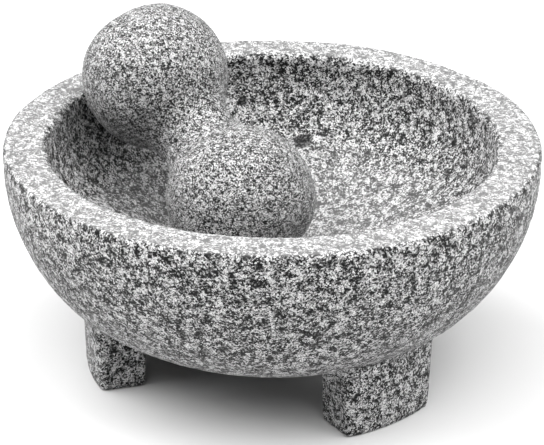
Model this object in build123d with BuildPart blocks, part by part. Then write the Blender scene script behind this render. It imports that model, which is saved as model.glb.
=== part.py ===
"""Molcajete: a granite mortar on three legs, with its two-headed pestle.

The mortar is one stone: a bowl with a wide flat rim, and three tapered legs whose inner and outer
faces curve round the bowl's axis. The pestle is a second, loose stone. It lies in the bowl, one head
on the cavity's floor and the other against the inner edge of the rim.

Millimetres. The origin is on the ground below the bowl's axis, +Z is up, and one leg stands on +Y.
"""
from build123d import *
from math import atan2, cos, degrees, hypot, radians, sin, sqrt
import os

# ---- the bowl's outside ----
rim_radius = 101.5
rim_width = 17.0  # the flat top of the wall, roundings included
rim_outer_round = 2.0
rim_inner_round = 3.0
upright_band = 3.5  # of the outer wall, between the rim's rounding and the belly's curve
underside_radius = 40.0  # the flat of the underside, where the belly's curve starts
ground_clearance = 19.5  # under the bowl, between the legs

# ---- the bowl's cavity ----
cavity_depth = 53.5
floor_thickness = 19.5  # stone under the lowest point of the cavity
wall_round = 36.0  # from the upright top of the inner wall to the shallow floor

# ---- the legs ----
leg_count = 3
first_leg_azimuth = 90.0
leg_outer_angle = 32.5  # degrees round the bowl's axis that a leg's outer face takes up
leg_inner_angle = 39.0  # the same for its inner face, so that its sides are nearly parallel
leg_outer_radius = 72.0  # bowl's axis to the leg's outer face, at the ground
leg_thickness = 18.0
leg_corner_round = 1.5
leg_taper = 2.0  # degrees that each face leans, so that a leg narrows towards the ground
leg_blend = 2.0  # where a leg runs into the bowl
foot_round = 0.5  # the edges that meet the ground

# ---- the pestle ----
head_radius = 28.4
head_distance = 62.0  # between the centres of the two heads
head_flattening = 3.1  # how far each end falls short of a full ball
head_end_radius = 52.0  # curvature of the flattened end
head_shoulder_round = 17.0  # from that end to the round side
waist_radius = 15.5

# ---- how the pestle lies in the mortar ----
touch_gap = 0.3  # left open where the two stones touch
seat_offset = 12.5  # bowl's axis to the centre of the lower head
seat_azimuth = 216.0
lean_azimuth = 150.4  # the way the pestle leans, seen from above

# ---- sizes that follow from the ones above ----
floor_height = ground_clearance + floor_thickness
rim_height = floor_height + cavity_depth
belly_centre_height = rim_height - rim_outer_round - upright_band
belly_width = rim_radius - underside_radius
belly_height = belly_centre_height - ground_clearance
rim_edge_centre = (rim_radius - rim_outer_round, rim_height - rim_outer_round)

mouth_radius = rim_radius - rim_width
lip_centre_radius = mouth_radius + rim_inner_round
wall_centre_radius = mouth_radius - wall_round
wall_centre_height = rim_height - rim_inner_round
wall_drop = wall_centre_height - floor_height
# the floor is part of a sphere on the bowl's axis, tangent to the round of the wall
floor_sphere = (wall_centre_radius**2 + wall_drop**2 - wall_round**2) / (2 * (wall_drop - wall_round))
floor_centre_height = floor_height + floor_sphere
join_angle = degrees(atan2(wall_centre_height - floor_centre_height, wall_centre_radius))

leg_inner_radius = leg_outer_radius - leg_thickness
head_end_height = head_radius - head_flattening


def polar(radius, azimuth, height=0.0):
    """The point at this radius and azimuth from the bowl's axis."""
    return Vector(radius * cos(radians(azimuth)), radius * sin(radians(azimuth)), height)


def stone_distance(point):
    """How far a point in or over the cavity is from the mortar: its floor, its wall or its lip."""
    radius = hypot(point.X, point.Y)
    beyond_wall_centre = radius - wall_centre_radius
    above_wall_centre = point.Z - wall_centre_height
    to_floor = floor_sphere - hypot(radius, point.Z - floor_centre_height)
    to_lip = hypot(radius - lip_centre_radius, above_wall_centre) - rim_inner_round
    to_wall = wall_round - hypot(beyond_wall_centre, above_wall_centre)
    angle = degrees(atan2(above_wall_centre, beyond_wall_centre))
    faces_wall = join_angle < angle < 0
    return to_wall if faces_wall else min(to_floor, to_lip)


def upper_head_at(tilt):
    """The centre of the upper head when the pestle is tilted this far up from lying flat."""
    reach = polar(cos(radians(tilt)), lean_azimuth, sin(radians(tilt)))
    return lower_head + reach * head_distance


def leaning_tilt():
    """The tilt at which the pestle, lowered from upright, comes to rest against the mortar."""
    low, high = 0.0, 90.0
    while high - low > 1e-6:
        middle = (low + high) / 2
        if stone_distance(upper_head_at(middle)) > head_radius + touch_gap:
            high = middle
        else:
            low = middle
    return high


# ---- mortar ----
with BuildSketch() as leg_plan:
    with BuildLine():
        outer_face = CenterArc((0, 0), leg_outer_radius, -leg_outer_angle / 2, leg_outer_angle)
        inner_face = CenterArc((0, 0), leg_inner_radius, -leg_inner_angle / 2, leg_inner_angle)
        Line(outer_face @ 0, inner_face @ 0)
        Line(outer_face @ 1, inner_face @ 1)
    make_face()
    fillet(leg_plan.vertices(), leg_corner_round)

bowl_plane = Plane.XZ.rotated((0, 0, first_leg_azimuth))  # the bowl's profiles lie through a leg

with BuildPart() as mortar:
    # the outside of the bowl, as if it were solid
    with BuildSketch(bowl_plane):
        with BuildLine():
            Line((0, rim_height), (0, ground_clearance))
            Line((0, ground_clearance), (underside_radius, ground_clearance))
            belly_centre = (underside_radius, belly_centre_height)
            belly = EllipticalCenterArc(belly_centre, belly_width, belly_height, -90, arc_size=90)
            rim_edge = CenterArc(rim_edge_centre, rim_outer_round, 0, 90)
            Line(belly @ 1, rim_edge @ 0)
            Line(rim_edge @ 1, (0, rim_height))
        make_face()
    revolve(axis=Axis.Z)

    # the legs run up into the stone, and what reaches the cavity is cut away with it
    with BuildSketch():
        with PolarLocations(0, leg_count, start_angle=first_leg_azimuth):
            add(leg_plan.sketch)
    extrude(amount=belly_centre_height, taper=-leg_taper)
    fillet(mortar.edges(Select.NEW), leg_blend)
    feet = mortar.faces().filter_by(Plane.XY).group_by(Axis.Z)[0]
    fillet(feet.edges(), foot_round)

    with BuildSketch(bowl_plane):
        with BuildLine():
            floor = CenterArc((0, floor_centre_height), floor_sphere, -90, 90 + join_angle)
            CenterArc((wall_centre_radius, wall_centre_height), wall_round, join_angle, -join_angle)
            lip = CenterArc((lip_centre_radius, wall_centre_height), rim_inner_round, 180, -90)
            Line(lip @ 1, (0, rim_height))
            Line((0, rim_height), floor @ 0)
        make_face()
    revolve(axis=Axis.Z, mode=Mode.SUBTRACT)
mortar.part.label = "mortar"

# ---- pestle ----
seat_sphere = floor_sphere - head_radius - touch_gap
lower_head = polar(seat_offset, seat_azimuth, floor_centre_height - sqrt(seat_sphere**2 - seat_offset**2))
upper_head = upper_head_at(leaning_tilt())
pestle_axis = Axis(lower_head, upper_head - lower_head)
across = polar(1, lean_azimuth + 90)
profile_plane = Plane(lower_head, x_dir=across, z_dir=across.cross(pestle_axis.direction))

# each flattened end meets its head at a corner, which the shoulder rounds off
end_centre = head_end_radius - head_end_height
corner_height = (head_end_radius**2 - head_radius**2 - end_centre**2) / (2 * end_centre)
corner_radius = sqrt(head_radius**2 - corner_height**2)
# the waist is one hollow round, tangent to both heads
waist_round = ((head_distance / 2) ** 2 + waist_radius**2 - head_radius**2) / (2 * (head_radius - waist_radius))
waist_share = head_radius / (head_radius + waist_round)
waist_join_radius = (waist_radius + waist_round) * waist_share
waist_join_height = head_distance / 2 * waist_share

with BuildPart() as pestle:
    with BuildSketch(profile_plane) as pestle_profile:
        with BuildLine():
            lower_end = (0, -head_end_height)
            lower_corner = (corner_radius, -corner_height)
            lower_join = (waist_join_radius, waist_join_height)
            upper_join = (waist_join_radius, head_distance - waist_join_height)
            upper_corner = (corner_radius, head_distance + corner_height)
            upper_end = (0, head_distance + head_end_height)
            RadiusArc(lower_end, lower_corner, -head_end_radius)
            RadiusArc(lower_corner, lower_join, -head_radius)
            RadiusArc(lower_join, upper_join, waist_round)
            RadiusArc(upper_join, upper_corner, -head_radius)
            RadiusArc(upper_corner, upper_end, -head_end_radius)
            Line(upper_end, lower_end)
        make_face()
        along_pestle = pestle_profile.vertices().sort_by(Axis.Y)
        fillet([along_pestle[1], along_pestle[-2]], head_shoulder_round)
    revolve(axis=pestle_axis)
pestle.part.label = "pestle"

os.makedirs("parts", exist_ok=True)
for stone in (mortar, pestle):
    export_step(stone.part, f"parts/{stone.part.label}.step")
    print(stone.part.label, "volume", round(stone.part.volume / 1000), "cm3")
print("floor sphere", round(floor_sphere, 1), "tilt", round(leaning_tilt(), 2))
print("gap between the stones", round(mortar.part.distance_to(pestle.part), 3))
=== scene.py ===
"""Molcajete: the carved and pecked look of a granite mortar and its pestle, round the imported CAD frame."""

import math

import bmesh
import bpy
from bpy.props import FloatProperty, FloatVectorProperty, IntProperty, PointerProperty
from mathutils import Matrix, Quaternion, Vector


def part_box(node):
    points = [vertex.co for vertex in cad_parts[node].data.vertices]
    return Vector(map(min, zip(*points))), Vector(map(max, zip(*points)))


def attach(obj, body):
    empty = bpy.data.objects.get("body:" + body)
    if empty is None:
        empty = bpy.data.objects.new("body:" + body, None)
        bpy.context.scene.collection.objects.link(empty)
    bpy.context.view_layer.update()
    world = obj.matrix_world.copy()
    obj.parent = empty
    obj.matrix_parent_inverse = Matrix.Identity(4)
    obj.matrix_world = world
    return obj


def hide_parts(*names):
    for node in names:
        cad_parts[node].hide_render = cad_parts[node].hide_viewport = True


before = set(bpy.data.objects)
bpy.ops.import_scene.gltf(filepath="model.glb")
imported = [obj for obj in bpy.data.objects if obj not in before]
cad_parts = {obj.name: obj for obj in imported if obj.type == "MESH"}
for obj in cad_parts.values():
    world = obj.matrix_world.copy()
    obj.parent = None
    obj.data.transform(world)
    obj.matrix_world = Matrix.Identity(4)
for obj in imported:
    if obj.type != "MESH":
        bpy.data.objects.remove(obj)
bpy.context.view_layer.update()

bl_info = {
    "name": "Molcajete stones",
    "version": (1, 0, 0),
    "blender": (4, 5, 0),
    "location": "View3D > Sidebar > Molcajete",
    "description": "Builds a granite mortar and pestle as pecked stones, with their stage",
    "category": "Object",
}

MM = 0.001


# ---- small helpers ----------------------------------------------------------------------------------
def linear(hex_colour):
    """The linear colour, with alpha, of an sRGB hex value such as 0x7f7f7f."""
    channels = [(hex_colour >> shift & 0xFF) / 255 for shift in (16, 8, 0)]
    return (*[c / 12.92 if c <= 0.04045 else ((c + 0.055) / 1.055) ** 2.4 for c in channels], 1.0)


def add(tree, kind, inputs=None, **settings):
    """Adds a node with its settings. Each input is a value, or the output of another node."""
    made = tree.nodes.new(kind)
    for name, value in settings.items():
        setattr(made, name, value)
    for socket, value in (inputs or {}).items():
        if isinstance(value, bpy.types.NodeSocket):
            tree.links.new(value, made.inputs[socket])
        else:
            made.inputs[socket].default_value = value
    return made


def merged_copy(node):
    """A new object on a copy of a CAD node's mesh, with its loose triangles joined."""
    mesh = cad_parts[node].data.copy()
    mesh.materials.clear()
    shell = bmesh.new()
    shell.from_mesh(mesh)
    bmesh.ops.remove_doubles(shell, verts=shell.verts, dist=0.001 * MM)
    shell.to_mesh(mesh)
    shell.free()
    made = bpy.data.objects.new(node + "_blank", mesh)
    bpy.context.scene.collection.objects.link(made)
    return made


# ---- what a user would change -----------------------------------------------------------------------
class StoneCarving(bpy.types.PropertyGroup):
    """How the masons left the surface of the stones."""

    mortar_step: FloatProperty(
        name="Mortar mesh step", description="Distance between points of the mortar's mesh",
        default=1.28 * MM, unit="LENGTH")
    pestle_step: FloatProperty(
        name="Pestle mesh step", description="Distance between points of the pestle's mesh",
        default=0.62 * MM, unit="LENGTH")
    wobble: FloatProperty(
        name="Wobble", description="How far hand work strays from the true shape",
        default=0.35 * MM, unit="LENGTH")
    wobble_width: FloatProperty(
        name="Wobble width", description="Width of one stretch of that wobble",
        default=38 * MM, unit="LENGTH")
    peck: FloatProperty(
        name="Peck depth", description="Depth of the marks of the pecking hammer",
        default=0.16 * MM, unit="LENGTH")
    peck_width: FloatProperty(
        name="Peck width", description="Width of one mark of the pecking hammer",
        default=3.2 * MM, unit="LENGTH")
    seed: IntProperty(name="Seed", description="Which of many random surfaces is made", default=7)


class GraniteLook(bpy.types.PropertyGroup):
    """The grains of the granite."""

    mortar_grain: FloatProperty(
        name="Mortar grain", description="Width of one crystal in the mortar",
        default=0.55 * MM, unit="LENGTH")
    mortar_clot: FloatProperty(
        name="Mortar clot", description="Width of one clot of dark crystals in the mortar",
        default=3.0 * MM, unit="LENGTH")
    mortar_clotting: FloatProperty(
        name="Mortar clotting", description="How strongly dark crystals gather in the mortar's clots",
        default=1.9)
    knot: FloatVectorProperty(
        name="Knot", description="Where the darkest patch sits, on the mortar's inner wall",
        default=(-12.5 * MM, 69 * MM, 60.8 * MM), subtype="TRANSLATION")
    knot_width: FloatProperty(
        name="Knot width", description="Width of that patch", default=7.5 * MM, unit="LENGTH")
    small_knot: FloatVectorProperty(
        name="Small knot", description="Where a smaller dark patch sits, higher on the same wall",
        default=(-39.2 * MM, 70.7 * MM, 73.6 * MM), subtype="TRANSLATION")
    small_knot_width: FloatProperty(
        name="Small knot width", description="Width of that smaller patch", default=4 * MM, unit="LENGTH")
    pestle_grain: FloatProperty(
        name="Pestle grain", description="Width of one crystal in the pestle",
        default=0.4 * MM, unit="LENGTH")
    pestle_clot: FloatProperty(
        name="Pestle clot", description="Width of one clot of dark crystals in the pestle",
        default=2.0 * MM, unit="LENGTH")
    pestle_clotting: FloatProperty(
        name="Pestle clotting", description="How strongly dark crystals gather in the pestle's clots",
        default=1.2)


class StageLook(bpy.types.PropertyGroup):
    """The camera and the studio."""

    azimuth: FloatProperty(
        name="Azimuth", description="Where the camera stands, round from the front",
        default=math.radians(20.4), subtype="ANGLE")
    elevation: FloatProperty(
        name="Elevation", description="The camera's height above the horizon",
        default=math.radians(26.05), subtype="ANGLE")
    distance: FloatProperty(
        name="Distance", description="From the camera to the middle of the mortar",
        default=1052 * MM, unit="LENGTH")
    aim: FloatProperty(
        name="Aim", description="How far above the middle of the mortar the camera aims",
        default=math.radians(0.532), subtype="ANGLE")
    roll: FloatProperty(
        name="Roll", description="How far the camera leans to one side",
        default=math.radians(0.34), subtype="ANGLE")
    lens: FloatProperty(
        name="Lens", description="Focal length in millimetres", default=181.06, subtype="DISTANCE_CAMERA")


# ---- the stones' shape ------------------------------------------------------------------------------
NOISE_REACH = 0.25  # noise hardly ever strays further than this from its middle value
FLAT_BELOW = 0.4 * MM  # height up to which the feet are left flat
WORKED_ABOVE = 4 * MM  # height from which the stone is fully worked


def hand_work_tree():
    """Geometry Nodes that turn a true shape into hand-worked stone: it wobbles, and is pecked all over."""
    tree = bpy.data.node_groups.new("hand_work", "GeometryNodeTree")
    socket = tree.interface.new_socket
    socket("Stone", in_out="INPUT", socket_type="NodeSocketGeometry")
    for name in ("Wobble", "Wobble width", "Peck", "Peck width"):
        socket(name, in_out="INPUT", socket_type="NodeSocketFloat")
    socket("Seed", in_out="INPUT", socket_type="NodeSocketFloat")
    socket("Granite", in_out="INPUT", socket_type="NodeSocketMaterial")
    socket("Stone", in_out="OUTPUT", socket_type="NodeSocketGeometry")
    given = tree.nodes.new("NodeGroupInput").outputs
    place = add(tree, "GeometryNodeInputPosition").outputs["Position"]
    normal = add(tree, "GeometryNodeInputNormal").outputs["Normal"]

    def relief(width, height, detail):
        """Noise of this width, as a height above and below the true surface."""
        scale = add(tree, "ShaderNodeMath", {0: 1.0, 1: width}, operation="DIVIDE").outputs[0]
        noise = add(tree, "ShaderNodeTexNoise", {
            "Vector": place, "W": given["Seed"], "Scale": scale, "Detail": detail, "Roughness": 0.5,
        }, noise_dimensions="4D").outputs["Fac"]
        centred = add(tree, "ShaderNodeMath", {0: noise, 1: 0.5}, operation="SUBTRACT").outputs[0]
        full = add(tree, "ShaderNodeMath", {0: centred, 1: 1 / NOISE_REACH}, operation="MULTIPLY").outputs[0]
        return add(tree, "ShaderNodeMath", {0: full, 1: height}, operation="MULTIPLY").outputs[0]

    wobble = relief(given["Wobble width"], given["Wobble"], 1.0)
    peck = relief(given["Peck width"], given["Peck"], 2.0)
    both = add(tree, "ShaderNodeMath", {0: wobble, 1: peck}, operation="ADD").outputs[0]
    # the feet stay flat where they stand
    height = add(tree, "ShaderNodeSeparateXYZ", {"Vector": place}).outputs["Z"]
    off_ground = add(tree, "ShaderNodeMapRange", {
        "Value": height, "From Min": FLAT_BELOW, "From Max": WORKED_ABOVE,
    }, interpolation_type="SMOOTHSTEP").outputs["Result"]
    lift = add(tree, "ShaderNodeMath", {0: both, 1: off_ground}, operation="MULTIPLY").outputs[0]
    offset = add(tree, "ShaderNodeVectorMath", {0: normal, "Scale": lift}, operation="SCALE").outputs[0]
    moved = add(tree, "GeometryNodeSetPosition", {"Geometry": given["Stone"], "Offset": offset})
    real = add(tree, "GeometryNodeRealizeInstances", {"Geometry": moved.outputs["Geometry"]})
    dressed = add(tree, "GeometryNodeSetMaterial", {
        "Geometry": real.outputs["Geometry"], "Material": given["Granite"]})
    add(tree, "NodeGroupOutput", {"Stone": dressed.outputs["Geometry"]})
    return tree


def worked_stone(name, node, body, step, granite):
    """Replaces a CAD node by the same shape as hand-worked stone, one plain mesh that rides on its body."""
    carving = bpy.context.scene.molcajete_carving
    blank = merged_copy(node)
    remesh = blank.modifiers.new("even_mesh", "REMESH")
    remesh.mode = "VOXEL"
    remesh.voxel_size = step
    ease = blank.modifiers.new("ease_edges", "SMOOTH")
    ease.factor = 0.5
    ease.iterations = 1
    tree = bpy.data.node_groups.get("hand_work") or hand_work_tree()
    work = blank.modifiers.new("hand_work", "NODES")
    work.node_group = tree
    values = {
        "Wobble": carving.wobble, "Wobble width": carving.wobble_width,
        "Peck": carving.peck, "Peck width": carving.peck_width,
        "Seed": float(carving.seed), "Granite": granite,
    }
    for item in tree.interface.items_tree:
        if item.in_out == "INPUT" and item.name in values:
            work[item.identifier] = values[item.name]
    blank.update_tag()
    graph = bpy.context.evaluated_depsgraph_get()
    mesh = bpy.data.meshes.new_from_object(blank.evaluated_get(graph))
    bpy.data.objects.remove(blank)
    if not mesh.polygons:
        raise RuntimeError(f"{name} came out empty")
    for polygon in mesh.polygons:
        polygon.use_smooth = True
    stone = bpy.data.objects.new(name, mesh)
    bpy.context.scene.collection.objects.link(stone)
    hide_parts(node)
    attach(stone, body)
    print(name, "triangles", sum(len(p.vertices) - 2 for p in mesh.polygons))
    return stone


# ---- granite ----------------------------------------------------------------------------------------
# from black mica through grey quartz to white feldspar: where each tone starts, and its colour
MINERALS = ((0.12, 0x060606), (0.3, 0x2A2A2A), (0.45, 0x6A6A6A), (0.68, 0xB2B2B2), (0.9, 0xE6E6E6))
# a pale colour mixed onto what faces up: partly pale dust from the hammer's bruises, partly painted light
# that brightens upward faces
PALE_DUST_AND_PAINTED_LIGHT = 0xB4B4B4
BRUISED_BAND = 1.5 * MM  # depth below the rim's top over which its bruising fades
PAINTED_LIGHT_FACING_UP = 0.2  # share of painted light, with some pale dust, on what faces up
BRUISING_ON_TOP = 0.06  # share that the rim's top has besides
KNOT_SHADE = 0.2  # brightness of a knot, against the stone round it


def granite(name, grain, clot, clotting, bruised_above=None, knots=()):
    """Grey granite, pecked and unpolished: crystals of white feldspar, grey quartz and black mica, each a
    different tone, with the mica gathered in clots. It is matt. What faces up is painted paler, partly as
    pale dust from the hammer's bruises and partly as painted light, most of all above the height
    bruised_above.
    Each knot is a place and the width of a darker patch there."""
    material = bpy.data.materials.new(name)
    material.use_nodes = True
    tree = material.node_tree
    tree.nodes.clear()
    coordinates = add(tree, "ShaderNodeTexCoord").outputs
    place = coordinates["Object"]

    # crystal outlines are ragged, so the pattern is pushed about by less than a grain
    push = add(tree, "ShaderNodeTexNoise", {
        "Vector": place, "Scale": 1 / (1.5 * grain), "Detail": 1.0}).outputs["Color"]
    centred = add(tree, "ShaderNodeVectorMath", {0: push, 1: (0.5, 0.5, 0.5)}, operation="SUBTRACT")
    pushed = add(tree, "ShaderNodeVectorMath", {
        0: centred.outputs[0], 1: (1.2 * grain,) * 3, 2: place}, operation="MULTIPLY_ADD").outputs[0]
    crystals = add(tree, "ShaderNodeTexVoronoi", {
        "Vector": pushed, "Scale": 1 / grain, "Randomness": 1.0}, feature="F1")
    pick = add(tree, "ShaderNodeSeparateColor", {"Color": crystals.outputs["Color"]}).outputs

    # the mica gathers in clots many grains wide
    clots = add(tree, "ShaderNodeTexNoise", {
        "Vector": place, "Scale": 1 / clot, "Detail": 2.0, "Roughness": 0.55}).outputs["Fac"]
    lean = add(tree, "ShaderNodeMath", {0: clots, 1: 0.5}, operation="SUBTRACT").outputs[0]
    mineral = add(tree, "ShaderNodeMath", {
        0: lean, 1: clotting, 2: pick["Red"]}, operation="MULTIPLY_ADD", use_clamp=True).outputs[0]
    tones = add(tree, "ShaderNodeValToRGB", {"Fac": mineral})
    ramp = tones.color_ramp
    ramp.interpolation = "LINEAR"
    while len(ramp.elements) < len(MINERALS):
        ramp.elements.new(0.5)
    for element, (position, colour) in zip(ramp.elements, MINERALS):
        element.position = position
        element.color = linear(colour)

    # dust-fine grains break up each crystal
    dust = add(tree, "ShaderNodeTexNoise", {
        "Vector": place, "Scale": 1 / (0.6 * grain), "Detail": 2.0, "Roughness": 0.7}).outputs["Fac"]
    shade = add(tree, "ShaderNodeMapRange", {
        "Value": dust, "From Min": 0.36, "From Max": 0.64, "To Min": 0.2, "To Max": 1.08}).outputs["Result"]
    broken = add(tree, "ShaderNodeMix", {
        "Factor": 1.0, "A": tones.outputs["Color"], "B": shade}, data_type="RGBA", blend_type="MULTIPLY")
    colour = broken.outputs["Result"]
    if bruised_above is not None:
        facing_up = add(tree, "ShaderNodeSeparateXYZ", {"Vector": coordinates["Normal"]}).outputs["Z"]
        # painted light, with some pale dust: the more a face points up, the paler it is painted
        level = add(tree, "ShaderNodeMapRange", {
            "Value": facing_up, "From Min": 0.7, "From Max": 1.0, "To Max": PAINTED_LIGHT_FACING_UP,
        }, interpolation_type="SMOOTHSTEP").outputs["Result"]
        height = add(tree, "ShaderNodeSeparateXYZ", {"Vector": place}).outputs["Z"]
        on_top = add(tree, "ShaderNodeMapRange", {
            "Value": height, "From Min": bruised_above, "From Max": bruised_above + BRUISED_BAND,
            "To Max": BRUISING_ON_TOP,
        }, interpolation_type="SMOOTHSTEP").outputs["Result"]
        # painted light on upward faces, plus the paler bruised top of the rim
        bruising_and_painted_light = add(tree, "ShaderNodeMath", {0: level, 1: on_top}, operation="ADD").outputs[0]
        colour = add(tree, "ShaderNodeMix", {
            "Factor": bruising_and_painted_light, "A": colour, "B": linear(PALE_DUST_AND_PAINTED_LIGHT)}, data_type="RGBA").outputs["Result"]
    for knot, width in knots:
        away = add(tree, "ShaderNodeVectorMath", {0: pushed, 1: knot}, operation="DISTANCE").outputs["Value"]
        ragged = add(tree, "ShaderNodeMath", {
            0: clots, 1: 0.4 * width, 2: away}, operation="MULTIPLY_ADD").outputs[0]
        tint = add(tree, "ShaderNodeMapRange", {
            "Value": ragged, "From Min": 0.6 * width, "From Max": 0.8 * width, "To Min": KNOT_SHADE,
        }, interpolation_type="SMOOTHSTEP").outputs["Result"]
        colour = add(tree, "ShaderNodeMix", {
            "Factor": 1.0, "A": colour, "B": tint}, data_type="RGBA", blend_type="MULTIPLY").outputs["Result"]
    rough = add(tree, "ShaderNodeMapRange", {
        "Value": mineral, "From Min": 0.15, "From Max": 0.4, "To Min": 0.45, "To Max": 0.8})

    # each crystal broke at its own height under the hammer
    heights = add(tree, "ShaderNodeMath", {0: pick["Green"], 1: dust}, operation="ADD").outputs[0]
    bump = add(tree, "ShaderNodeBump", {
        "Height": heights, "Strength": 1.0, "Distance": 0.16 * grain})
    surface = add(tree, "ShaderNodeBsdfPrincipled", {
        "Base Color": colour, "Roughness": rough.outputs["Result"],
        "Specular IOR Level": 0.15, "Normal": bump.outputs["Normal"]})
    add(tree, "ShaderNodeOutputMaterial", {"Surface": surface.outputs["BSDF"]})
    return material


class CarveMortar(bpy.types.Operator):
    """Carves the mortar, bowl and legs in one granite block"""

    bl_idname = "molcajete.carve_mortar"
    bl_label = "Carve mortar"

    def execute(self, context):
        look = context.scene.molcajete_granite
        knots = [(look.knot, look.knot_width), (look.small_knot, look.small_knot_width)]
        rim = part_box("mortar")[1].z
        stone = granite(
            "pecked_grey_granite", look.mortar_grain, look.mortar_clot, look.mortar_clotting,
            rim - BRUISED_BAND, knots)
        step = context.scene.molcajete_carving.mortar_step
        worked_stone("mortar_stone", "mortar", "mortar", step, stone)
        return {"FINISHED"}


class CarvePestle(bpy.types.Operator):
    """Carves the loose pestle, with a rounded head at each end"""

    bl_idname = "molcajete.carve_pestle"
    bl_label = "Carve pestle"

    def execute(self, context):
        look = context.scene.molcajete_granite
        stone = granite(
            "finely_pecked_grey_granite", look.pestle_grain, look.pestle_clot, look.pestle_clotting)
        step = context.scene.molcajete_carving.pestle_step
        worked_stone("pestle_stone", "pestle", "pestle", step, stone)
        return {"FINISHED"}


# ---- the stage --------------------------------------------------------------------------------------
FLOOR_HALF_WIDTH = 6.0
FLOOR_CARD = 0xCCCCCC
WORLD_FILL = 0.04
# as the camera sees it: overhead and a little in front, and at each side, halfway up.
# Each has a direction, a width in degrees and a strength.
SOFTBOXES = (
    ("overhead_softbox", (0, -0.3, 1), 75, 4.3),
    ("left_softbox", (-1, 0.15, 1), 60, 3.9),
    ("right_softbox", (1, 0, 1), 60, 2.8),
)


def white_floor():
    """A wide sheet of matt white card under the object."""
    far = FLOOR_HALF_WIDTH
    corners = [(-far, -far, 0), (far, -far, 0), (far, far, 0), (-far, far, 0)]
    mesh = bpy.data.meshes.new("floor")
    mesh.from_pydata(corners, [], [(0, 1, 2, 3)])
    card = bpy.data.materials.new("matt_white_card")
    card.use_nodes = True
    surface = card.node_tree.nodes["Principled BSDF"]
    surface.inputs["Base Color"].default_value = linear(FLOOR_CARD)
    surface.inputs["Roughness"].default_value = 0.9
    surface.inputs["Specular IOR Level"].default_value = 0.1
    mesh.materials.append(card)
    floor = bpy.data.objects.new("floor", mesh)
    bpy.context.scene.collection.objects.link(floor)


def soft_light(name, towards, spread, strength):
    """A studio light that falls evenly: its direction, its width in degrees and its strength."""
    lamp = bpy.data.lights.new(name, "SUN")
    lamp.angle = math.radians(spread)
    lamp.energy = strength
    placed = bpy.data.objects.new(name, lamp)
    placed.rotation_mode = "QUATERNION"
    placed.rotation_quaternion = towards.to_track_quat("Z", "Y")
    bpy.context.scene.collection.objects.link(placed)


def camera():
    """The camera, aimed a little above the middle of the mortar and leaning a little."""
    stage = bpy.context.scene.molcajete_stage
    eye = bpy.data.cameras.new("camera")
    eye.sensor_width = 36
    eye.lens = stage.lens
    eye.clip_start, eye.clip_end = 0.05, 50
    placed = bpy.data.objects.new("camera", eye)
    bpy.context.scene.collection.objects.link(placed)
    bpy.context.scene.camera = placed

    def back(elevation):
        """The direction from the mortar back to a camera at this elevation."""
        level = math.cos(elevation)
        across, ahead = math.sin(stage.azimuth) * level, -math.cos(stage.azimuth) * level
        return Vector((across, ahead, math.sin(elevation)))

    low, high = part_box("mortar")
    middle = Vector((0, 0, (low.z + high.z) / 2))
    placed.location = middle + back(stage.elevation) * stage.distance
    aim = back(stage.elevation - stage.aim)
    placed.rotation_mode = "QUATERNION"
    placed.rotation_quaternion = (-aim).to_track_quat("-Z", "Y") @ Quaternion((0, 0, 1), stage.roll)


class SetStage(bpy.types.Operator):
    """Sets the white floor, the soft lights and the camera"""

    bl_idname = "molcajete.set_stage"
    bl_label = "Set stage"

    def execute(self, context):
        scene = context.scene
        scene.view_settings.view_transform = "Standard"
        white_floor()
        camera()
        turn = Quaternion((0, 0, 1), scene.molcajete_stage.azimuth)
        for name, towards, spread, strength in SOFTBOXES:
            soft_light(name, turn @ Vector(towards), spread, strength)
        world = bpy.data.worlds.new("studio")
        world.use_nodes = True
        world.node_tree.nodes["Background"].inputs["Color"].default_value = linear(0xFFFFFF)
        world.node_tree.nodes["Background"].inputs["Strength"].default_value = WORLD_FILL
        scene.world = world
        return {"FINISHED"}


class MolcajetePanel(bpy.types.Panel):
    """The molcajete's settings and steps, in the 3D view's sidebar."""

    bl_idname = "VIEW3D_PT_molcajete"
    bl_label = "Molcajete"
    bl_space_type = "VIEW_3D"
    bl_region_type = "UI"
    bl_category = "Molcajete"

    def draw(self, context):
        scene = context.scene
        for group in (scene.molcajete_carving, scene.molcajete_granite, scene.molcajete_stage):
            box = self.layout.box()
            for name in group.bl_rna.properties.keys():
                if name not in {"rna_type", "name"}:
                    box.prop(group, name)
        for step in (CarveMortar, CarvePestle, SetStage):
            self.layout.operator(step.bl_idname)


CLASSES = (StoneCarving, GraniteLook, StageLook, CarveMortar, CarvePestle, SetStage, MolcajetePanel)


def register():
    for made in CLASSES:
        bpy.utils.register_class(made)
    bpy.types.Scene.molcajete_carving = PointerProperty(type=StoneCarving)
    bpy.types.Scene.molcajete_granite = PointerProperty(type=GraniteLook)
    bpy.types.Scene.molcajete_stage = PointerProperty(type=StageLook)


def unregister():
    del bpy.types.Scene.molcajete_stage
    del bpy.types.Scene.molcajete_granite
    del bpy.types.Scene.molcajete_carving
    for made in reversed(CLASSES):
        bpy.utils.unregister_class(made)


def main():
    register()
    bpy.ops.molcajete.carve_mortar()
    bpy.ops.molcajete.carve_pestle()
    bpy.ops.molcajete.set_stage()


if __name__ == "__main__":
    main()
